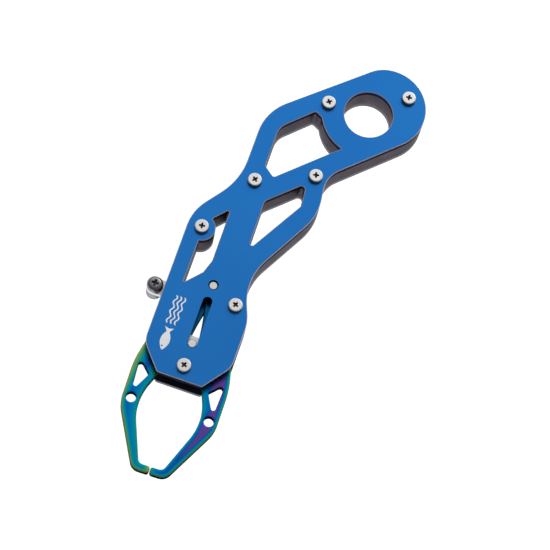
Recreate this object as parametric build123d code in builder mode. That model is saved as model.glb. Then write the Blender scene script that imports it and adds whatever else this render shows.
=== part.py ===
"""Fish lip grip: two plates and a core sandwich a pair of spring-closed jaws.

Frame: origin at the centre of the finger ring on the rear face, +Z out of the front face,
+X along the slide slot away from the jaws, +Y towards the trigger post. Units are millimetres.
Sketches are drawn from the jaw pivot, which is where level() puts their origin.
"""
from build123d import *
import math
import os

os.makedirs("parts", exist_ok=True)

# Driving dimensions
RING = (133.9, -37.3)             # finger ring centre, from the jaw pivot
RING_R = 10.5
PLATE_T = 2.6                     # each cover plate
CORE_T = 9.0                      # frame between the plates
TOTAL_T = PLATE_T + CORE_T + PLATE_T
FRONT_IN = PLATE_T + CORE_T       # inner face of the front plate
EDGE_BREAK = 0.3                  # bright chamfer round both cover plates
FRONT_MIN_RIM = 60                # rims shorter than this, such as the slot's, keep a sharp edge
REAR_MIN_RIM = 70                 # on the rear plate the finger ring's rim is sharp too

TRAVEL = 19.38                    # slide of the trigger and drive pin
PIN_X = 10.45                     # drive pin from the pivot with the jaws shut
JAW_SWING = 5.5                   # degrees each jaw opens over the full travel
DRIVE_PIN_R = 1.85
SLOT_R = 2.0                      # half width of the slide slot and the cam slots
PIN_RECESS = 0.3                  # the drive pin stops this far short of the rear face
PIN_BREAK = 0.25                  # chamfer on the ends of the pins

SCREW_R = 1.5                     # M3
SCREW_CLEAR_R = 1.6
HEAD_R = 3.0
HEAD_H = 2.0
HEAD_ROUND = 0.25                 # edge radius of a pan head, as a share of its height
DOME_ROUND = 0.9                  # the same for the domed head on the trigger post
RECESS_SPAN = 0.88                # cross recess, as shares of the head's radius
RECESS_WIDTH = 0.27
RECESS_CORE = 0.26
RECESS_DEPTH = 0.6                # as a share of the head's height
RECESS_TAPER = 8                  # degrees
BODY_SCREWS = [(146.8, -51.3), (132.7, -19.6), (87.6, -1.2), (98.4, -24.8), (60.0, 12.9), (31.8, -11.4)]
BODY_SCREW_TURNS = [5, 36, -40, 14, 8, -25]       # degrees, how far each cross recess is turned
PIVOT_SCREW_TURN = -25

JAW_T = 3.4                       # full thickness of a jaw arm
JAW_Z = (TOTAL_T - JAW_T) / 2     # underside of both arms
LAP_GAP = 0.3                     # between the half-lapped hubs
LAP_T = (JAW_T - LAP_GAP) / 2
HUB_R = 4.9
BUSH_R = 2.5
BUSH_FIT = 0.05                   # running clearance of the jaws on the bush
LAP_CLEAR_R = 9.0                 # each arm is full thickness outside this radius
WASHER_R = 4.0
WASHER_GAP = 0.04                 # end play on each side of a jaw hub

SLIDER_T = 2.15
SLIDER_GAP = 0.35                 # between the slide and the jaws below it
SLIDER_Z = JAW_Z + JAW_T + SLIDER_GAP
POST = (30.0, 22.9)               # trigger post from the pivot
POST_R = 3.4
POST_HEAD_R = 3.5
POST_HEAD_H = 2.2
POST_SHANK_R = 2.0
POST_CLEAR_R = 2.1
POST_LOW_Z = 3.0
SLEEVE_FLOOR = 1.2                # solid end of the tapped sleeve
SLEEVE_BREAK = 0.5
COLLAR_T = 1.1
COLLAR_Z = SLIDER_Z + SLIDER_T

SPRING_X = 37.5                   # fixed spring post from the pivot
SPRING_POST_R = 1.82
SPRING_HOLE_R = 2.15              # hole in the front plate round the spring post's end
SPRING_POST_RECESS = 0.7          # the post's end lies this far below the front face
COIL_R = 2.55                     # mean radius
COIL_H = 3.0
WIRE_R = 0.4
EAR = (32.3, 5.6)                 # ear on a jaw tail that takes the end of a spring leg
EAR_R = 1.6
NOTCH = (33.2, 5.15)              # notch through the ear, where the leg ends
NOTCH_SIZE = (2.4, 1.1)
NOTCH_TURN = -27                  # degrees


def level(z):
    """Horizontal plane at height z with its origin on the jaw pivot."""
    return Plane(origin=(-RING[0], -RING[1], z))


# Outlines, counter-clockwise from the jaw mouth, with a corner radius at each point
OUTLINE = [
    (-5.9, -9.8), (6.1, -18.6), (26.9, -18.6), (45.05, -11.7), (82.1, -31.5), (100.2, -29.0), (131.3, -60.7),
    (157.6, -60.7), (157.6, -36.4), (119.9, 4.7), (86.0, 4.7), (66.0, 19.2), (5.0, 18.8), (-5.9, 9.6),
]
OUTLINE_R = [1.2, 9.8, 19, 25, 24.5, 12.3, 18, 17.9, 15, 22.5, 31, 21.5, 10, 1.2]

SLIM = [(34.3, 12.2), (41.5, 5.9), (47.5, 4.0), (71.8, 4.2), (65.9, 9.4), (58.0, 12.2)]
SLIM_R = [0.3, 2, 5, 0.6, 0.9, 0]
SLIM_BOSS_R = 5.9                 # boss of the fifth screw bulges into the slim window

TRI = [(57.2, -8.4), (83.8, -23.2), (94.1, -22.1), (80.4, -8.1)]
TRI_R = [0.9, 3.0, 1.5, 3.2]

OPENER = [(92.1, -8.1), (116.0, -32.4), (124.3, -21.3), (127.35, -15.6), (114.7, -3.2), (95.9, -3.3)]
OPENER_R = [1.2, 0, 0, 1.2, 9, 1.0]
RING_BOSS_R = 20.2                # wall round the finger ring bulges into the opener window

CAVITY = [
    (-12, -30), (14, -30), (14, -16.2), (23, -16.2), (27.0, -11.0), (28.8, -8.2), (35.5, -8.0), (42.6, -5.2),
    (42.6, 3.6), (35.0, 8.2), (33.2, 10), (33.2, 13.1), (54.3, 13.1), (54.3, 30), (-12, 30),
]
CAVITY_R = [0, 0, 0.5, 2, 1, 1, 1, 2, 2, 1, 0.5, 0.3, 1.5, 0, 0]


def rounded(points, radii):
    """Face inside a closed outline of straight runs with rounded corners."""
    with BuildSketch(mode=Mode.PRIVATE) as shape:
        with BuildLine():
            FilletPolyline(*points, radius=radii, close=True)
        make_face()
    return shape.sketch


def without_disc(shape, centre, radius):
    """The same face with a round boss taken out of it."""
    with BuildSketch(mode=Mode.PRIVATE) as rest:
        add(shape)
        with Locations(centre):
            Circle(radius, mode=Mode.SUBTRACT)
    return rest.sketch


def body_outline():
    """Add the shape shared by the plates and the core to the open sketch."""
    add(rounded(OUTLINE, OUTLINE_R))
    add(without_disc(rounded(SLIM, SLIM_R), BODY_SCREWS[4], SLIM_BOSS_R), mode=Mode.SUBTRACT)
    add(rounded(TRI, TRI_R), mode=Mode.SUBTRACT)
    add(without_disc(rounded(OPENER, OPENER_R), RING, RING_BOSS_R), mode=Mode.SUBTRACT)
    with Locations(RING):
        Circle(RING_R, mode=Mode.SUBTRACT)


def slide_slot():
    """Cut the straight slot that the drive pin runs in."""
    with Locations((PIN_X + TRAVEL / 2, 0)):
        SlotCenterToCenter(TRAVEL, 2 * SLOT_R, mode=Mode.SUBTRACT)


def long_rims(face, shortest):
    """Edges of the rims round a face and its openings that are longer than the shortest."""
    return [edge for wire in face.wires() if wire.length > shortest for edge in wire.edges()]


# Front cover plate
with BuildPart() as front_plate:
    with BuildSketch(level(FRONT_IN)):
        body_outline()
        slide_slot()
        with Locations((SPRING_X, 0)):
            Circle(SPRING_HOLE_R, mode=Mode.SUBTRACT)
        with Locations((0, 0), *BODY_SCREWS):
            Circle(SCREW_CLEAR_R, mode=Mode.SUBTRACT)
    extrude(amount=PLATE_T)
    chamfer(long_rims(front_plate.faces().sort_by(Axis.Z)[-1], FRONT_MIN_RIM), EDGE_BREAK)
front_plate.part.label = "front_plate"
export_step(front_plate.part, "parts/front_plate.step")

# Rear cover plate, tapped for every screw
with BuildPart() as rear_plate:
    with BuildSketch(level(0)):
        body_outline()
        slide_slot()
        with Locations((SPRING_X, 0)):
            Circle(SPRING_POST_R, mode=Mode.SUBTRACT)
        with Locations((0, 0), *BODY_SCREWS):
            Circle(SCREW_R, mode=Mode.SUBTRACT)
    extrude(amount=PLATE_T)
    chamfer(long_rims(rear_plate.faces().sort_by(Axis.Z)[0], REAR_MIN_RIM), EDGE_BREAK)
rear_plate.part.label = "rear_plate"
export_step(rear_plate.part, "parts/rear_plate.step")

# Core frame, open round the mechanism and along the trigger's side
with BuildPart() as core_frame:
    with BuildSketch(level(PLATE_T)):
        body_outline()
        add(rounded(CAVITY, CAVITY_R), mode=Mode.SUBTRACT)
        with Locations(*BODY_SCREWS):
            Circle(SCREW_CLEAR_R, mode=Mode.SUBTRACT)
    extrude(amount=CORE_T)
core_frame.part.label = "core_frame"
export_step(core_frame.part, "parts/core_frame.step")

# Pivot bush, spacers and the shim between the jaw hubs
with BuildPart() as pivot_bush:
    with BuildSketch(level(PLATE_T)):
        Circle(BUSH_R)
        Circle(SCREW_CLEAR_R, mode=Mode.SUBTRACT)
    extrude(amount=CORE_T)
pivot_bush.part.label = "pivot_bush"
export_step(pivot_bush.part, "parts/pivot_bush.step")

WASHERS = {
    "rear_spacer": (PLATE_T, JAW_Z - WASHER_GAP),
    "hub_shim": (JAW_Z + LAP_T + WASHER_GAP, JAW_Z + LAP_T + LAP_GAP - WASHER_GAP),
    "front_spacer": (JAW_Z + JAW_T + WASHER_GAP, FRONT_IN),
}
for washer_name, (low, high) in WASHERS.items():
    with BuildPart() as washer:
        with BuildSketch(level(low)):
            Circle(WASHER_R)
            Circle(BUSH_R, mode=Mode.SUBTRACT)
        extrude(amount=high - low)
    washer.part.label = washer_name
    export_step(washer.part, f"parts/{washer_name}.step")


def cross_screw(centre, tip_z, seat_z, shank_r, head_r, head_h, rounding, turn):
    """Screw with a rounded head and a cross recess, from its tip up to its head."""
    place = (centre[0] - RING[0], centre[1] - RING[1])
    top_z = seat_z + head_h
    with BuildPart() as screw:
        with BuildSketch(Plane(origin=(*place, tip_z))):
            Circle(shank_r)
        extrude(amount=seat_z - tip_z)
        with BuildSketch(Plane(origin=(*place, seat_z))):
            Circle(head_r)
        extrude(amount=head_h)
        fillet(screw.faces().sort_by(Axis.Z)[-1].edges(), rounding * head_h)
        with BuildSketch(Plane(origin=(*place, top_z))):
            Rectangle(RECESS_SPAN * head_r, RECESS_WIDTH * head_r, rotation=turn)
            Rectangle(RECESS_WIDTH * head_r, RECESS_SPAN * head_r, rotation=turn)
            Circle(RECESS_CORE * head_r)
        extrude(amount=-RECESS_DEPTH * head_h, taper=RECESS_TAPER, mode=Mode.SUBTRACT)
    return screw.part


# Pan head screws: one through the pivot and six round the body, all M3 into the rear plate
SCREWS = {"pivot_screw": ((0, 0), PIVOT_SCREW_TURN)}
for number, screw_place in enumerate(zip(BODY_SCREWS, BODY_SCREW_TURNS), start=1):
    SCREWS[f"body_screw_{number}"] = screw_place
for screw_name, (centre, turn) in SCREWS.items():
    body_screw = cross_screw(centre, 0, TOTAL_T, SCREW_R, HEAD_R, HEAD_H, HEAD_ROUND, turn)
    body_screw.label = screw_name
    export_step(body_screw, f"parts/{screw_name}.step")

# Jaw shape, drawn for the jaw on the +Y side, with the arms straight
ARM = [
    (9.5, 18.0), (-2.0, 20.5), (-21.0, 20.3), (-46.0, 7.2), (-46.0, 0.15), (-42.9, 0.15), (-42.9, 5.1),
    (-18.1, 14.7), (-4.4, 9.3), (3.0, 9.0),
]
ARM_R = [0.8, 40, 15, 4.8, 1.1, 0.9, 2.5, 24, 1.5, 1.0]
ARM_WINDOW = [(-15.3, 17.4), (-6.0, 12.75), (-0.3, 18.3)]
ARM_WINDOW_R = [1.0, 0.6, 1.1]
ARM_HOLE = (-17.55, 16.6)
ARM_HOLE_R = 2.1
ARM_LEAN = 1.4                    # degrees both arms are turned from the body's long axis
WEB = [(-4.4, 9.3), (-3.6, 4.0), (-3.6, 2.0), (4.4, 0.0), (9.5, 10.0), (9.5, 18.0), (2.0, 18.0)]
TAIL_HALF = 5.0                   # half width of the tail along the cam slot
TAIL_END_R = 3.6                  # rounding at both ends of the cam slot


def cam_point(travel, side):
    """Point of the cam's centre line that the drive pin reaches after this much travel."""
    radius = PIN_X + travel
    angle = math.radians(side * JAW_SWING * travel / TRAVEL)
    return (radius * math.cos(angle), radius * math.sin(angle))


def jaw(side, hub_z):
    """One jaw: full-thickness leaning arm, half-lapped hub and tail with its cam slot."""
    def flip(points):
        return [(x, side * y) for x, y in points]

    def leaned(z):
        return level(z).rotated((0, 0, ARM_LEAN))

    cam = [cam_point(TRAVEL * step / 4, side) for step in range(5)]
    with BuildPart() as piece:
        with BuildSketch(leaned(JAW_Z)):
            add(rounded(flip(ARM), ARM_R))
            Circle(LAP_CLEAR_R, mode=Mode.SUBTRACT)
        extrude(amount=JAW_T)
        with BuildSketch(leaned(hub_z)):
            with BuildLine():
                Polyline(*flip(WEB), close=True)
            make_face()
        with BuildSketch(level(hub_z)):
            Circle(HUB_R)
            with BuildLine():
                Polyline((0, 0), cam[0])
                Spline(*cam)
            trace(line_width=2 * TAIL_HALF)
            with Locations(cam[0], cam[-1]):
                Circle(TAIL_END_R)
            with Locations(*flip([EAR])):
                Circle(EAR_R)
        extrude(amount=LAP_T)
        with BuildSketch(leaned(JAW_Z)):
            add(rounded(flip(ARM_WINDOW), ARM_WINDOW_R))
            with Locations(*flip([ARM_HOLE])):
                Circle(ARM_HOLE_R)
        with BuildSketch(level(JAW_Z)):
            with BuildLine():
                Spline(*cam)
            trace(line_width=2 * SLOT_R)
            with Locations(cam[0], cam[-1]):
                Circle(SLOT_R)
            Circle(BUSH_R + BUSH_FIT)
            with Locations(*flip([NOTCH])):
                Rectangle(*NOTCH_SIZE, rotation=NOTCH_TURN * side)
        extrude(amount=JAW_T, mode=Mode.SUBTRACT)
    return piece.part


left_jaw = jaw(1, JAW_Z + LAP_T + LAP_GAP)
left_jaw.label = "left_jaw"
export_step(left_jaw, "parts/left_jaw.step")

right_jaw = jaw(-1, JAW_Z)
right_jaw.label = "right_jaw"
export_step(right_jaw, "parts/right_jaw.step")

# Trigger slide: a bar carries the drive pin, and its arm reaches out past the body to the post
SLIDER = [
    (6.4, -4.2), (14.6, -4.2), (14.6, 5.0), (12.2, 8.5), (12.2, 13.4), (33.4, 13.4), (33.4, 22.9),
    (26.6, 22.9), (26.6, 18.2), (11.0, 18.2), (6.4, 13.0),
]
SLIDER_CORNER_R = [0.8, 0.8, 0.8, 0.8, 1.5, 1.5, 0, 0, 0.8, 2, 2]
with BuildPart() as slider_plate:
    with BuildSketch(level(SLIDER_Z)):
        add(rounded(SLIDER, SLIDER_CORNER_R))
        with Locations(POST):
            Circle(POST_R)
            Circle(POST_CLEAR_R, mode=Mode.SUBTRACT)
        with Locations((PIN_X, 0)):
            Circle(DRIVE_PIN_R, mode=Mode.SUBTRACT)
    extrude(amount=SLIDER_T)
slider_plate.part.label = "slider_plate"
export_step(slider_plate.part, "parts/slider_plate.step")

# Trigger post: a blind tapped sleeve under the slide's tab, a collar on top and a domed screw
with BuildPart() as trigger_sleeve:
    with BuildSketch(level(POST_LOW_Z)):
        with Locations(POST):
            Circle(POST_R)
    extrude(amount=SLIDER_Z - POST_LOW_Z)
    chamfer(trigger_sleeve.faces().sort_by(Axis.Z)[0].edges(), SLEEVE_BREAK)
    with BuildSketch(level(POST_LOW_Z + SLEEVE_FLOOR)):
        with Locations(POST):
            Circle(POST_SHANK_R)
    extrude(amount=SLIDER_Z - POST_LOW_Z, mode=Mode.SUBTRACT)
trigger_sleeve.part.label = "trigger_sleeve"
export_step(trigger_sleeve.part, "parts/trigger_sleeve.step")

with BuildPart() as trigger_collar:
    with BuildSketch(level(COLLAR_Z)):
        with Locations(POST):
            Circle(POST_R)
            Circle(POST_CLEAR_R, mode=Mode.SUBTRACT)
    extrude(amount=COLLAR_T)
trigger_collar.part.label = "trigger_collar"
export_step(trigger_collar.part, "parts/trigger_collar.step")

tip_z = POST_LOW_Z + SLEEVE_FLOOR + 0.2
seat_z = COLLAR_Z + COLLAR_T
trigger_screw = cross_screw(POST, tip_z, seat_z, POST_SHANK_R, POST_HEAD_R, POST_HEAD_H, DOME_ROUND, 0)
trigger_screw.label = "trigger_screw"
export_step(trigger_screw, "parts/trigger_screw.step")

# Drive pin, pressed into the slide, flush with the front face
with BuildPart() as drive_pin:
    with BuildSketch(level(PIN_RECESS)):
        with Locations((PIN_X, 0)):
            Circle(DRIVE_PIN_R)
    extrude(amount=TOTAL_T - PIN_RECESS)
    chamfer(drive_pin.faces().filter_by(GeomType.PLANE).edges(), PIN_BREAK)
drive_pin.part.label = "drive_pin"
export_step(drive_pin.part, "parts/drive_pin.step")

# Spring post, pressed into the rear plate and a little below the front face
with BuildPart() as spring_post:
    with BuildSketch(level(0)):
        with Locations((SPRING_X, 0)):
            Circle(SPRING_POST_R)
    extrude(amount=TOTAL_T - SPRING_POST_RECESS)
    chamfer(spring_post.faces().sort_by(Axis.Z)[-1].edges(), PIN_BREAK)
spring_post.part.label = "spring_post"
export_step(spring_post.part, "parts/spring_post.step")

# Torsion spring: its coil sits round the post and each leg bears on one jaw tail's ear
coil_z = (TOTAL_T - COIL_H) / 2
leg_reach = math.hypot(NOTCH[0] - SPRING_X, NOTCH[1])
leg_length = math.sqrt(leg_reach**2 - COIL_R**2)
tangent = math.atan2(NOTCH[1], NOTCH[0] - SPRING_X) - math.acos(COIL_R / leg_reach)
with BuildPart() as torsion_spring:
    with BuildSketch(level(coil_z)):
        with Locations((SPRING_X, 0)):
            Circle(COIL_R + WIRE_R)
            Circle(COIL_R - WIRE_R, mode=Mode.SUBTRACT)
    extrude(amount=COIL_H)
    for side, leg_z in ((1, JAW_Z + JAW_T - LAP_T / 2), (-1, JAW_Z + LAP_T / 2)):
        start = Vector(SPRING_X + COIL_R * math.cos(tangent), side * COIL_R * math.sin(tangent), leg_z)
        end = Vector(NOTCH[0], side * NOTCH[1], leg_z)
        pivot = Vector(-RING[0], -RING[1], 0)
        with BuildSketch(Plane(origin=start + pivot, z_dir=end - start)):
            Circle(WIRE_R)
        extrude(amount=leg_length)
torsion_spring.part.label = "torsion_spring"
export_step(torsion_spring.part, "parts/torsion_spring.step")
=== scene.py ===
"""Looks of the fish lip grip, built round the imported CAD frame. Metres throughout."""
import math
import bmesh
import bpy
from mathutils import Matrix, Vector
from mathutils.kdtree import KDTree


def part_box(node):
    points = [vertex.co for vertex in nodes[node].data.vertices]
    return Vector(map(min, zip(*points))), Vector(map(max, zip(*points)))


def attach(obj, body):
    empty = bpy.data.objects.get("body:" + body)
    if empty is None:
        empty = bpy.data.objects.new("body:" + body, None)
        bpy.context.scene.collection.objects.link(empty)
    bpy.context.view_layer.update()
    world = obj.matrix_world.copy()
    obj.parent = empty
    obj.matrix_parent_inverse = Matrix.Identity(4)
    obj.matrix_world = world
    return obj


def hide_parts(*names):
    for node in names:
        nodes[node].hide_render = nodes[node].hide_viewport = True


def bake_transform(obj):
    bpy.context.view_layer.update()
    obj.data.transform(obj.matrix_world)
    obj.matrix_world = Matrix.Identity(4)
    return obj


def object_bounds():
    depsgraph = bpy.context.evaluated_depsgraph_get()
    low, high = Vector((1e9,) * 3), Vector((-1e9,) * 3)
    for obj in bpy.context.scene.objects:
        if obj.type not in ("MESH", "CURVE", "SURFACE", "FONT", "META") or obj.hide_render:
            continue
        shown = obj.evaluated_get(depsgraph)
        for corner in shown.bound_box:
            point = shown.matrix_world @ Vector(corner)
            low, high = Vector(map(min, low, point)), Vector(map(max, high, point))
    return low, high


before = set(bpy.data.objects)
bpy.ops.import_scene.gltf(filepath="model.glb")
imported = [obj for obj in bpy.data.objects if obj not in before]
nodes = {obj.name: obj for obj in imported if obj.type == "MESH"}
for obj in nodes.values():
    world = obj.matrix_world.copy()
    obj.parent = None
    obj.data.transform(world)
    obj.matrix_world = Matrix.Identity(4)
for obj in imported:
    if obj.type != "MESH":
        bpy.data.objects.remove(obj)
cad_low, cad_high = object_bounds()
scene = bpy.context.scene


def middle_of(name):
    """Middle of a CAD node's box."""
    low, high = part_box(name)
    return (low + high) / 2


MM = 0.001
FACE_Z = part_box("front_plate")[1].z        # front face of the body
PIVOT = middle_of("pivot_screw")           # the jaws' hinge axis
SIDES = {"left": 1, "right": -1}           # the side of the pivot, along Y, that each jaw's arm is on

# Camera: its place is in millimetres from the jaw pivot in x and y, and from the rear face in z.
CAMERA_PLACE = (-289.05, -46.57, 897.47)
CAMERA_RIGHT = Vector((0.31262, -0.94517, 0.09446))
CAMERA_UP = Vector((0.87954, 0.32559, 0.34698))
SENSOR_MM = 36.0
LENS_MM = 149.5
VIEW_END = 10                              # metres

# Light and floor. The dome's greys run from its dark side to the side of the light.
LIGHT_SIDE = Vector((0.75, 0.1, 0.65)).normalized()
DOME_STOPS = [
    (0.1, (0.16, 0.16, 0.17)),
    (0.62, (0.39, 0.39, 0.39)),
    (0.83, (0.56, 0.56, 0.56)),
    (0.93, (0.98, 0.98, 0.98)),
]
DOME_STRENGTH = 1.2
KEY_PLACE = Vector((1.39, -0.57, 1.05))
KEY_AIM = Vector((-0.09, 0, 0))
KEY_SIZE = 1.0
KEY_WATTS = 5
FLOOR_SIZE = 6
FLOOR_DROP = 0.06                          # the grip hangs clear of the floor, so its shadow is faint
FLOOR_GLOW = 0.7                           # the floor is a light table
PAPER_TONES = (0.93, 0.93, 0.935), (0.96, 0.96, 0.96)

# Surfaces. A band is the part of a texture's range that is used.
NOISE_BAND = (0.3, 0.7)
MARK_BAND = (0.25, 0.75)
PAINTED_SHADE_BAND = (0.25, 0.8)
GRAIN_DEPTH = 0.02 * MM                    # relief of the plates' blasted grain
MARK_DEPTH = 0.01 * MM                     # relief of tool marks
SATIN_DEPTH = 0.006 * MM                   # relief of the jaws' polish
MIRROR_DEPTH = 0.002 * MM                  # relief of the chromed screw's polish
PAINTED_SHADE_TONE = (0.012, 0.024, 0.028)          # painted shade on a jaw: the colour its walls take, as a wall away from the light
FILM_DRIFT = 0.012                         # how unevenly the oxide grew
FILM_COLOURS = [                           # colour of the oxide by its thickness
    (0.0, (0.50, 0.38, 0.10)),
    (0.13, (0.20, 0.36, 0.11)),
    (0.27, (0.045, 0.36, 0.17)),
    (0.37, (0.008, 0.32, 0.27)),
    (0.47, (0.002, 0.29, 0.39)),
    (0.60, (0.0, 0.215, 0.51)),
    (0.74, (0.001, 0.15, 0.48)),
    (0.83, (0.004, 0.085, 0.37)),
    (0.92, (0.055, 0.075, 0.34)),
    (1.0, (0.12, 0.06, 0.33)),
]

# Jaws, in millimetres in the jaw's own frame: arm along -X, tail along +X.
ARM_LEAN = math.radians(1.4)               # both arms are turned from the body's long axis
HUB_RIM_R = 9.3                            # rims nearer the pivot than this are the hub's own
HUB_FILM_R = 9.6                           # the oxide is even inside this radius
HUB_SHADE_R = 10.4                          # all is painted as dark as a shaded wall inside this radius
TAIL_FROM = 9
TIP_FROM = -40
ARM_HOLE = (-17.55, 16.6)
ARM_HOLE_ROOM = 2.6                        # the round hole's radius with some room
WINDOW_SPAN = (-15.7, 0)                   # the three-cornered window, also with some room
WINDOW_FLOOR = ((-15.7, 17.25), (-6, 12.4))
WINDOW_TOP = 18.9
COVERED_FILM = 0.64                        # oxide on the hub and the tail, inside the body
TAIL_SHADE = 0.55                          # share of painted shade on the tail, which lies in the body's shade

# Jaw meshes, in metres.
RIM_STEP = 0.3 * MM                        # between the points that stand for a rim
WELD = 1e-7                                # points nearer than this are one
LEVEL = 1e-6                               # how flat a jaw's face is
JAW_VOXEL = 0.24 * MM
JAW_SMOOTHING = 5

# What a face is, by how far its normal points along an axis. The first four are for the Z axis.
FACE_SLOPE = 0.9                           # a flat face points more than this, and a bevel less
BEVEL_SLOPE = 0.3                          # a wall points less than this
WALL_SLOPE = -0.5                          # an inner face points less than this
HEAD_SIDE_SLOPE = 0.5                      # the side of a screw's head points less than this
OUTWARD_SLOPE = 0.05                       # an arm's outer wall points more than this to its own side
TIPWARD_SLOPE = 0.9                        # or more than this towards the tips

# Oxide on each jaw. From a rim inwards it starts at a thickness and gains so much per millimetre,
# the gain being a line along the arm; "most" is a sum of such lines that it never exceeds.
# A line is two pairs of millimetres from the pivot and the value there.
FILMS = {
    "left": {                              # stops at blue, and is greener near the body
        "outer": (0.04, ((6, 0.15), (20, 0.31))),
        "inner": (0.38, ((6, 0.095), (20, 0.095))),
        "tip": (0.0, ((6, 0.16), (20, 0.16))),
        # the second line lets the oxide grow darker, towards navy and purple, next to the body: painted
        # shadow of the front plate
        "most": [((36, 0.74), (43, 0.56)), ((6, 0.22), (12, 0.0))],
    },
    "right": {                             # goes on to purple in the middle of the arm
        "outer": (0.14, ((13, 0.42), (19, 0.42))),
        "inner": (0.42, ((13, 0.12), (19, 0.30))),
        "tip": (0.25, ((13, 0.15), (19, 0.15))),
        "most": [((28, 1.0), (38, 0.80))],
    },
}

# Torsion spring.
SPRING_NOTCH = (33.2, 5.15)                # far end of a leg, in millimetres from the pivot
COIL_R = 2.55 * MM
WIRE_R = 0.38 * MM
LEG_RISE = 1.85 * MM                       # height between the two legs
SPRING_TURNS = 2
COIL_STEPS = 72
LEG_STEPS = 12

# Print on the front face, in millimetres; the places are from the pivot.
PRINT_T = 0.04
FISH_PLACE = (8.6, 10.9)
FISH_NOSE = -5.0
FISH_BODY = 8.2                            # length from the nose to the root of the tail fin
FISH_SWELL = 8.8                           # length of the arch that the back follows
FISH_HALF = 2.0
FISH_BLUNT = 0.75                          # below 1, the nose is rounder than the arch
FISH_FIN = [(5.2, 1.9), (4.6, 0.0), (5.2, -1.9)]
FISH_STEPS = 24
EYE_PLACE = (-3.3, 0.45)
EYE_R = 0.38
EYE_STEPS = 16
WAVE_PLACE = (15.4, 10.9)
WAVE_LENGTH = 12.6
WAVE_HEIGHT = 0.5
WAVE_WIDTH = 0.62
WAVE_PITCH = 1.75
WAVE_STEPS = 60
WAVES = 3

# The recess in a screw's head, measured from the axis and from the top; its faces get painted shade.
RECESS_R = 1.9 * MM
RECESS_TOP = 0.15 * MM
RECESS_DEPTH = 1.6 * MM


# ---------------------------------------------------------------- camera, light and floor

def make_camera():
    """Camera near the front face's normal, leaning to the jaws' side, as a catalogue picture is taken."""
    data = bpy.data.cameras.new("camera")
    data.sensor_width = SENSOR_MM
    data.lens = LENS_MM
    data.clip_end = VIEW_END
    x, y, z = CAMERA_PLACE
    place = Vector((PIVOT.x + x * MM, PIVOT.y + y * MM, z * MM))
    turn = Matrix((CAMERA_RIGHT, CAMERA_UP, CAMERA_RIGHT.cross(CAMERA_UP))).transposed().to_4x4()
    camera = bpy.data.objects.new("camera", data)
    camera.matrix_world = Matrix.Translation(place) @ turn
    scene.collection.objects.link(camera)
    scene.camera = camera


def make_key():
    """Large soft light beside the ring's end of the grip."""
    data = bpy.data.lights.new("key", "AREA")
    data.size = KEY_SIZE
    data.energy = KEY_WATTS
    light = bpy.data.objects.new("key", data)
    light.location = KEY_PLACE
    light.rotation_euler = (KEY_AIM - KEY_PLACE).to_track_quat("-Z", "Y").to_euler()
    scene.collection.objects.link(light)


def make_world():
    """Soft studio dome: bright on the side where the key light stands, dark towards the other side."""
    world = bpy.data.worlds.new("studio")
    world.use_nodes = True
    tree = world.node_tree
    place = put(tree, "ShaderNodeTexCoord").outputs["Generated"]
    along = put(tree, "ShaderNodeVectorMath", {0: place, 1: LIGHT_SIDE}, operation="DOT_PRODUCT")
    feed(tree, tree.nodes["Background"], {
        "Color": colour_ramp(tree, along.outputs["Value"], DOME_STOPS),
        "Strength": DOME_STRENGTH,
    })
    scene.world = world


def make_floor():
    bpy.ops.mesh.primitive_plane_add(size=FLOOR_SIZE, location=(0, 0, cad_low.z - FLOOR_DROP))
    floor = bpy.context.object
    floor.name = "floor"
    floor.data.materials.append(floor_material())


# ---------------------------------------------------------------- materials

def feed(tree, node, sockets):
    """Give the node's input sockets their values; another node's output is linked."""
    for name, value in sockets.items():
        socket = node.inputs[name]
        if isinstance(value, bpy.types.NodeSocket):
            tree.links.new(value, socket)
        elif socket.type == "RGBA":
            socket.default_value = (*value, 1)
        else:
            socket.default_value = value


def put(tree, kind, sockets=None, **settings):
    """New node with its settings and its input sockets."""
    node = tree.nodes.new(kind)
    for key, value in settings.items():
        setattr(node, key, value)
    feed(tree, node, sockets or {})
    return node


def new_material(name):
    """Node material with its tree, its principled shader and the object's own coordinates."""
    material = bpy.data.materials.new(name)
    material.use_nodes = True
    tree = material.node_tree
    place = put(tree, "ShaderNodeTexCoord").outputs["Object"]
    return material, tree, tree.nodes["Principled BSDF"], place


def colour_ramp(tree, value, stops):
    """Colour that the value picks between the stops."""
    node = put(tree, "ShaderNodeValToRGB", {"Fac": value})
    elements = node.color_ramp.elements
    while len(elements) < len(stops):
        elements.new(0.5)
    for element, (place, colour) in zip(elements, stops):
        element.position = place
        element.color = (*colour, 1)
    return node.outputs["Color"]


def noise(tree, place, scale, detail=4.0, roughness=0.55, stretch=(1, 1, 1)):
    """Noise in object space; scale is in features per metre."""
    mapping = put(tree, "ShaderNodeMapping", {"Vector": place, "Scale": stretch})
    return put(tree, "ShaderNodeTexNoise", {
        "Vector": mapping.outputs["Vector"], "Scale": scale, "Detail": detail, "Roughness": roughness,
    }).outputs["Fac"]


def span(tree, value, band, result=(0.0, 1.0)):
    """The value's band stretched to the result's range, and held at its ends."""
    return put(tree, "ShaderNodeMapRange", {
        "Value": value, "From Min": band[0], "From Max": band[1], "To Min": result[0], "To Max": result[1],
    }, clamp=True).outputs["Result"]


def mix(tree, factor, first, second):
    """Blend of two colours, each given as a colour or as another node's output."""
    sockets = {"Factor": factor, "A": first, "B": second}
    return put(tree, "ShaderNodeMix", sockets, data_type="RGBA").outputs["Result"]


def bump(tree, height, distance, strength):
    """Surface normal over a fine relief."""
    sockets = {"Height": height, "Distance": distance, "Strength": strength}
    return put(tree, "ShaderNodeBump", sockets).outputs["Normal"]


def floor_material():
    """White paper that glows a little, as on a light table."""
    material, tree, shader, place = new_material("floor_paper")
    grain = noise(tree, place, scale=900)
    feed(tree, shader, {
        "Base Color": mix(tree, span(tree, grain, NOISE_BAND), *PAPER_TONES),
        "Roughness": 0.9,
        "Specular IOR Level": 0.1,
        "Emission Color": (1, 1, 1),
        "Emission Strength": FLOOR_GLOW,
    })
    return material


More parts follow.
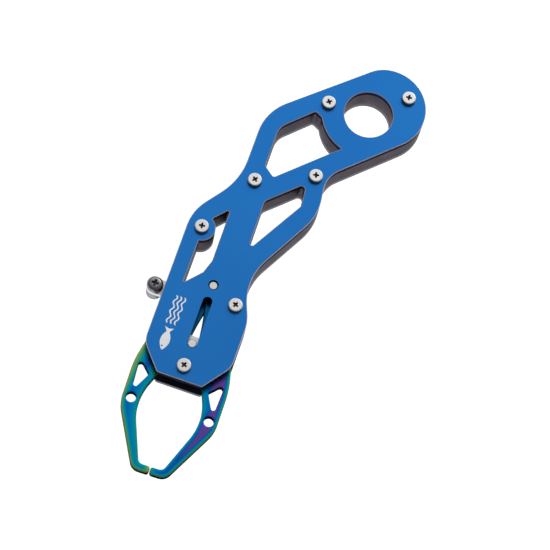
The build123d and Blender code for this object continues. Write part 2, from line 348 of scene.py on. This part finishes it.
def anodised(name, colour, shade):
    """Dyed anodised face: fine blasted grain, slow drift of tone and a satin lustre."""
    material, tree, shader, place = new_material(name)
    drift = noise(tree, place, scale=14, detail=2)
    grain = noise(tree, place, scale=5200, detail=3)
    feed(tree, shader, {
        "Base Color": mix(tree, span(tree, drift, NOISE_BAND), colour, shade),
        "Metallic": 0.85,
        "Roughness": span(tree, grain, NOISE_BAND, (0.25, 0.34)),
        "Normal": bump(tree, grain, GRAIN_DEPTH, strength=0.35),
    })
    return material


def machined(name, colour, shade, rough, scale, stretch=(1, 1, 1), metallic=1.0, depth=MARK_DEPTH, edge=1.0):
    """Metal with fine tool marks and an uneven tone between two colours.

    scale is the tool marks' own, stretch sets their direction, and a low edge darkens the pale
    sheen that metal has when it is seen along its surface.
    """
    material, tree, shader, place = new_material(name)
    marks = noise(tree, place, scale, detail=5, roughness=0.6, stretch=stretch)
    cloud = noise(tree, place, scale=160, detail=3)
    feed(tree, shader, {
        "Base Color": mix(tree, span(tree, cloud, NOISE_BAND), colour, shade),
        "Metallic": metallic,
        "Specular Tint": (edge, edge, edge),
        "Roughness": span(tree, marks, MARK_BAND, (rough - 0.06, rough + 0.08)),
        "Normal": bump(tree, marks, depth, strength=0.5),
    })
    return material


def heat_coloured():
    """Heat-coloured titanium: the film attribute, 0 to 1, is the oxide's thickness and picks its colour; a
    second attribute blends in painted shade, on the walls and on the parts inside the body.
    """
    material, tree, shader, place = new_material("rainbow_titanium")
    film = put(tree, "ShaderNodeAttribute", attribute_name="film").outputs["Fac"]
    painted_shade = put(tree, "ShaderNodeAttribute", attribute_name="painted_shade").outputs["Fac"]
    cloud = noise(tree, place, scale=70, detail=1)
    drift = span(tree, cloud, NOISE_BAND, (-FILM_DRIFT, FILM_DRIFT))
    thickness = put(tree, "ShaderNodeMath", {0: film, 1: drift}, operation="ADD").outputs["Value"]
    oxide = colour_ramp(tree, thickness, FILM_COLOURS)
    polish = noise(tree, place, scale=1500, detail=4)
    feed(tree, shader, {
        # painted shade: the oxide colour darkens towards the shade tone on walls, hub and tail
        "Base Color": mix(tree, span(tree, painted_shade, PAINTED_SHADE_BAND), oxide, PAINTED_SHADE_TONE),
        "Metallic": 1.0,
        "Specular Tint": (0.1, 0.1, 0.1),
        "Roughness": span(tree, polish, NOISE_BAND, (0.24, 0.34)),
        "Normal": bump(tree, polish, SATIN_DEPTH, strength=0.4),
    })
    return material


BLUE = anodised("blue_anodised_face", (0.012, 0.163, 0.525), (0.015, 0.186, 0.565))
BEVEL = machined("bright_bevel", (0.60, 0.54, 0.58), (0.70, 0.64, 0.68),
                 rough=0.3, scale=2500, metallic=0.35)
# painted shade: the front plate's blue anodised walls in dark navy, as they look in shade
PAINTED_FRONT_RIM = machined("painted_shade_front_wall", (0.010, 0.02, 0.075), (0.016, 0.026, 0.09),
               rough=0.4, scale=1800, stretch=(1, 1, 6), metallic=0.9, edge=0.1)
# painted light: the rear plate's blue anodised walls in grey, as they look lit from the floor below
PAINTED_REAR_RIM = machined("painted_light_rear_wall", (0.05, 0.046, 0.058), (0.07, 0.064, 0.078),
                    rough=0.38, scale=1800, stretch=(1, 1, 6), metallic=0.8)
CORE = machined("gunmetal_core", (0.08, 0.066, 0.08), (0.12, 0.10, 0.115),
                rough=0.42, scale=1500, stretch=(1, 1, 8), metallic=0.85, edge=0.4)
# painted shade: near black on the plates' inner faces, where shade falls between the plates
PAINTED_SHADE_INSIDE = machined("painted_shade_inside", (0.012, 0.012, 0.03), (0.016, 0.016, 0.038),
                  rough=0.6, scale=1500, metallic=0.3)
# painted shade: near black on the bush, spacers and shim, which sit in the shade inside the mouth
PAINTED_SHADE_STEEL = machined("painted_shade_steel", (0.05, 0.05, 0.07), (0.07, 0.07, 0.09),
                      rough=0.4, scale=2500, stretch=(1, 4, 1))
STEEL = machined("satin_steel", (0.72, 0.71, 0.72), (0.79, 0.78, 0.79),
                 rough=0.32, scale=3000, stretch=(1, 4, 1))
PIN_STEEL = machined("pin_steel", (0.66, 0.65, 0.66), (0.75, 0.74, 0.75),
                     rough=0.36, scale=3000, stretch=(1, 4, 1))
SLEEVE_STEEL = machined("sleeve_steel", (0.40, 0.385, 0.39), (0.47, 0.455, 0.46),
                        rough=0.34, scale=2500, stretch=(1, 1, 5), edge=0.5)
# painted shade: dark faces in the recess of each screw head
PAINTED_RECESS = machined("recess_painted_shade", (0.07, 0.06, 0.065), (0.11, 0.095, 0.1),
                  rough=0.5, scale=3000)
# painted reflection and shade: dark navy on the side of each pan head, as the steel side mirrors the blue
# plate
PAINTED_HEAD_SIDE = machined("head_side_painted_reflection", (0.09, 0.10, 0.15), (0.13, 0.14, 0.19),
                     rough=0.4, scale=3000, stretch=(1, 1, 5), metallic=0.6)
CHROME = machined("polished_chrome", (0.20, 0.20, 0.22), (0.26, 0.26, 0.28),
                  rough=0.12, scale=900, depth=MIRROR_DEPTH)
SPRING = machined("spring_steel", (0.42, 0.42, 0.44), (0.5, 0.5, 0.52),
                  rough=0.3, scale=2500)
INK = machined("white_ink", (0.90, 0.92, 0.95), (0.97, 0.98, 0.98),
               rough=0.5, scale=2500, metallic=0.8)
RAINBOW = heat_coloured()
ONE_FINISH = {                             # CAD nodes that are one metal all over
    "core_frame": CORE,
    "pivot_bush": PAINTED_SHADE_STEEL,
    "rear_spacer": PAINTED_SHADE_STEEL,
    "hub_shim": PAINTED_SHADE_STEEL,
    "front_spacer": PAINTED_SHADE_STEEL,
    "spring_post": PIN_STEEL,
    "drive_pin": PIN_STEEL,
    "slider_plate": PIN_STEEL,
    "trigger_sleeve": SLEEVE_STEEL,
    "trigger_collar": SLEEVE_STEEL,
}


# ---------------------------------------------------------------- helpers for meshes

def worked_out(piece, name):
    """The mesh that a curve or an object with modifiers comes to."""
    bpy.context.view_layer.update()
    mesh = bpy.data.meshes.new_from_object(piece.evaluated_get(bpy.context.evaluated_depsgraph_get()))
    mesh.name = name
    return mesh


def meshed(name, curve, material):
    """The curve's own mesh as a new object."""
    holder = bpy.data.objects.new(name + "_curve", curve)
    scene.collection.objects.link(holder)
    mesh = worked_out(holder, name)
    bpy.data.objects.remove(holder)
    mesh.materials.clear()
    mesh.materials.append(material)
    piece = bpy.data.objects.new(name, mesh)
    scene.collection.objects.link(piece)
    return piece


def shade_smooth(mesh):
    for polygon in mesh.polygons:
        polygon.use_smooth = True


def lerp_along(value, first, second):
    """Straight line through two (place, result) pairs, level beyond them."""
    share = min(1.0, max(0.0, (value - first[0]) / (second[0] - first[0])))
    return first[1] + (second[1] - first[1]) * share


# ---------------------------------------------------------------- jaws

def jaw_frame(side, point):
    """Place in millimetres with the arm straight along -X and the right jaw mirrored onto the left."""
    flat = Vector(((point.x - PIVOT.x) / MM, (point.y - PIVOT.y) / MM))
    flat.rotate(Matrix.Rotation(-ARM_LEAN, 2))
    return flat.x, side * flat.y


def in_arm_hole(along, across):
    """True at the rims of the window and the round hole through an arm."""
    in_hole = math.hypot(along - ARM_HOLE[0], across - ARM_HOLE[1]) < ARM_HOLE_ROOM
    in_window = (WINDOW_SPAN[0] < along < WINDOW_SPAN[1]
                 and lerp_along(along, *WINDOW_FLOOR) < across < WINDOW_TOP)
    return in_hole or in_window


def flat_tree(points):
    """Search tree over the points as seen from the front."""
    tree = KDTree(len(points))
    for index, point in enumerate(points):
        tree.insert((point.x, point.y, 0), index)
    tree.balance()
    return tree


def jaw_rims(shape, side):
    """Search trees of the points along an arm's outer rims and along its inner rims."""
    top = max(vert.co.z for vert in shape.verts)
    low = min(vert.co.z for vert in shape.verts)
    outer_rim, inner_rim = [], []
    for edge in shape.edges:
        if not all(vert.co.z > top - LEVEL or vert.co.z < low + LEVEL for vert in edge.verts):
            continue
        walls = [face for face in edge.link_faces if abs(face.normal.z) < BEVEL_SLOPE]
        if len(walls) != 1 or not any(abs(face.normal.z) > FACE_SLOPE for face in edge.link_faces):
            continue
        outwards = side * walls[0].normal.y > OUTWARD_SLOPE or walls[0].normal.x < -TIPWARD_SLOPE
        steps = math.ceil(edge.calc_length() / RIM_STEP)
        for step in range(steps):
            point = edge.verts[0].co.lerp(edge.verts[1].co, step / steps)
            along, across = jaw_frame(side, point)
            if math.hypot(along, across) > HUB_RIM_R and not in_arm_hole(along, across):
                (outer_rim if outwards else inner_rim).append(point)
    return flat_tree(outer_rim), flat_tree(inner_rim)


def soften(jaw):
    """Rebuild the jaw's mesh in small even faces, with its sharp rims rounded off."""
    remesh = jaw.modifiers.new("even", "REMESH")
    remesh.mode = "VOXEL"
    remesh.voxel_size = JAW_VOXEL
    smooth = jaw.modifiers.new("soften", "SMOOTH")
    smooth.factor = 0.5
    smooth.iterations = JAW_SMOOTHING
    ready = worked_out(jaw, jaw.name)
    jaw.modifiers.clear()
    jaw.data = ready


def film_thickness(film, reach, distances):
    """Oxide thickness at a place so far along the arm and so far from each rim and from the tip."""
    limits = [sum(lerp_along(reach, *line) for line in film["most"])]
    for rim, distance in distances.items():
        start, gain = film[rim]
        limits.append(start + lerp_along(reach, *gain) * distance)
    return min(limits)


def coat(mesh, word, rims):
    """Give the points of a jaw their oxide thickness, and their share of painted shade, which is darker on
    walls and inside the body.
    """
    film = mesh.attributes.new("film", "FLOAT", "POINT")
    painted_shade = mesh.attributes.new("painted_shade", "FLOAT", "POINT")
    for vert in mesh.vertices:
        outer, inner = (tree.find((vert.co.x, vert.co.y, 0))[2] / MM for tree in rims)
        along, across = jaw_frame(SIDES[word], vert.co)
        from_pivot = math.hypot(along, across)
        if from_pivot < HUB_FILM_R or along > TAIL_FROM:
            film.data[vert.index].value = COVERED_FILM
        else:
            tip = across if along < TIP_FROM else math.inf
            distances = {"outer": outer, "inner": inner, "tip": tip}
            film.data[vert.index].value = film_thickness(FILMS[word], -along, distances)
        # painted shade: walls by their slope, the hub in full and the tail in part, as they lie in the
        # body's shade
        shade = 1 - abs(vert.normal.z)
        if from_pivot < HUB_SHADE_R:
            shade = 1
        elif along > TAIL_FROM:
            shade = max(TAIL_SHADE, shade)
        painted_shade.data[vert.index].value = shade


def make_jaw(word):
    """Jaw with softly rounded rims in place of its CAD node, heat-coloured by distance to the rims, with
    painted shade on its walls, hub and tail.
    """
    node_name = word + "_jaw"
    mesh = nodes[node_name].data.copy()
    mesh.name = node_name + "_finish"
    mesh.materials.clear()
    mesh.materials.append(RAINBOW)
    shape = bmesh.new()
    shape.from_mesh(mesh)
    bmesh.ops.remove_doubles(shape, verts=shape.verts, dist=WELD)
    rims = jaw_rims(shape, SIDES[word])
    shape.to_mesh(mesh)
    shape.free()
    jaw = bpy.data.objects.new(node_name + "_finish", mesh)
    scene.collection.objects.link(jaw)
    soften(jaw)
    shade_smooth(jaw.data)
    coat(jaw.data, word, rims)
    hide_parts(node_name)
    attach(jaw, "jaw_" + word)


# ---------------------------------------------------------------- spring

def wire(name, points):
    """Round spring wire through the points, as a closed mesh with capped ends."""
    data = bpy.data.curves.new(name, "CURVE")
    data.dimensions = "3D"
    data.bevel_depth = WIRE_R
    data.bevel_resolution = 3
    data.use_fill_caps = True
    spline = data.splines.new("POLY")
    spline.points.add(len(points) - 1)
    for target, point in zip(spline.points, points):
        target.co = (*point, 1)
    piece = meshed(name, data, SPRING)
    shade_smooth(piece.data)
    return piece


def make_spring():
    """Torsion spring: a close coil round its post and one leg out to each jaw's tail."""
    centre_x = middle_of("spring_post").x
    middle_z = middle_of("torsion_spring").z
    leg_far = PIVOT.x + SPRING_NOTCH[0] * MM
    reach_x, reach_y = leg_far - centre_x, SPRING_NOTCH[1] * MM
    leave = math.atan2(reach_y, reach_x) - math.acos(COIL_R / math.hypot(reach_x, reach_y))
    turn = 2 * leave + 2 * math.pi * SPRING_TURNS
    coil = []
    for step in range(COIL_STEPS + 1):
        share = step / COIL_STEPS
        angle = -leave + turn * share
        coil.append(Vector((centre_x + COIL_R * math.cos(angle), PIVOT.y + COIL_R * math.sin(angle),
                            middle_z + LEG_RISE * (share - 0.5))))
    ring = wire("spring_coil", coil)
    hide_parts("torsion_spring")
    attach(ring, "body")
    for word, side in SIDES.items():
        root = coil[-1] if side > 0 else coil[0]
        end = Vector((leg_far, PIVOT.y + side * reach_y, root.z))
        leg = wire("spring_leg_" + word, [root.lerp(end, step / LEG_STEPS) for step in range(LEG_STEPS + 1)])
        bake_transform(leg)


# ---------------------------------------------------------------- print

def fish_outline():
    """Plain fish seen from the side, nose towards -X."""
    back = []
    for step in range(FISH_STEPS + 1):
        along = FISH_BODY * step / FISH_STEPS
        back.append((FISH_NOSE + along, FISH_HALF * math.sin(math.pi * along / FISH_SWELL) ** FISH_BLUNT))
    belly = [(x, -y) for x, y in reversed(back[1:])]
    return back + FISH_FIN + belly


def eye_outline():
    angles = [2 * math.pi * step / EYE_STEPS for step in range(EYE_STEPS)]
    return [(EYE_PLACE[0] + EYE_R * math.cos(a), EYE_PLACE[1] + EYE_R * math.sin(a)) for a in angles]


def wave_outline():
    """Ribbon along a sine wave, from its left end."""
    upper, lower = [], []
    for step in range(WAVE_STEPS + 1):
        x = WAVE_LENGTH * step / WAVE_STEPS
        y = WAVE_HEIGHT * math.sin(2 * math.pi * WAVES * x / WAVE_LENGTH)
        upper.append((x, y + WAVE_WIDTH / 2))
        lower.append((x, y - WAVE_WIDTH / 2))
    return upper + lower[::-1]


def make_print():
    """White print on the front face: a plain fish with three waves behind it."""
    data = bpy.data.curves.new("fish_print", "CURVE")
    data.dimensions = "2D"
    data.fill_mode = "BOTH"
    data.extrude = PRINT_T * MM / 2
    shapes = [(fish_outline(), FISH_PLACE), (eye_outline(), FISH_PLACE)]
    for row in (-1, 0, 1):
        shapes.append((wave_outline(), (WAVE_PLACE[0], WAVE_PLACE[1] + row * WAVE_PITCH)))
    for outline, (shift_x, shift_y) in shapes:
        spline = data.splines.new("POLY")
        spline.points.add(len(outline) - 1)
        for target, (x, y) in zip(spline.points, outline):
            target.co = ((x + shift_x) * MM, (y + shift_y) * MM, 0, 1)
        spline.use_cyclic_u = True
    piece = meshed("fish_print", data, INK)
    piece.location = (PIVOT.x, PIVOT.y, FACE_Z + PRINT_T * MM * 0.3)
    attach(piece, "body")


# ---------------------------------------------------------------- finishes of the CAD nodes

def paint_faces(name, materials, choose):
    """Give each face of a CAD node one of the materials; choose gets its centre and normal."""
    mesh = nodes[name].data
    mesh.materials.clear()
    for material in materials:
        mesh.materials.append(material)
    for face in mesh.polygons:
        face.material_index = choose(face.center, face.normal)


def all_over(centre, normal):
    """Chooser for a piece of one metal."""
    return 0


def plate_part(outwards):
    """Chooser for a cover plate whose outer face looks along outwards: face, bevel, wall or inner face."""
    def choose(centre, normal):
        slopes = (FACE_SLOPE, BEVEL_SLOPE, WALL_SLOPE)
        return sum(normal.z * outwards <= slope for slope in slopes)

    return choose


def screw_part(name):
    """Chooser for a screw: its body, the recess in its head with painted shade, or the side of a pan head
    with painted reflection.
    """
    middle = middle_of(name)
    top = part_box(name)[1].z

    def choose(centre, normal):
        from_axis = math.hypot(centre.x - middle.x, centre.y - middle.y)
        if RECESS_TOP < top - centre.z < RECESS_DEPTH and from_axis < RECESS_R:
            return 1
        # painted reflection on the sides of the pan heads, but not on the chromed trigger screw
        return 2 if name != "trigger_screw" and abs(normal.z) < HEAD_SIDE_SLOPE else 0

    return choose


def dress_cad_nodes():
    paint_faces("front_plate", [BLUE, BEVEL, PAINTED_FRONT_RIM, PAINTED_SHADE_INSIDE], plate_part(1))
    paint_faces("rear_plate", [BLUE, BEVEL, PAINTED_REAR_RIM, PAINTED_SHADE_INSIDE], plate_part(-1))
    for name, metal in ONE_FINISH.items():
        paint_faces(name, [metal], all_over)
    for name in nodes:
        if "screw" in name:
            metal = CHROME if name == "trigger_screw" else STEEL
            paint_faces(name, [metal, PAINTED_RECESS, PAINTED_HEAD_SIDE], screw_part(name))


make_camera()
make_world()
make_floor()
make_key()
dress_cad_nodes()
for jaw_word in SIDES:
    make_jaw(jaw_word)
make_spring()
make_print()
scene.view_settings.view_transform = "Standard"
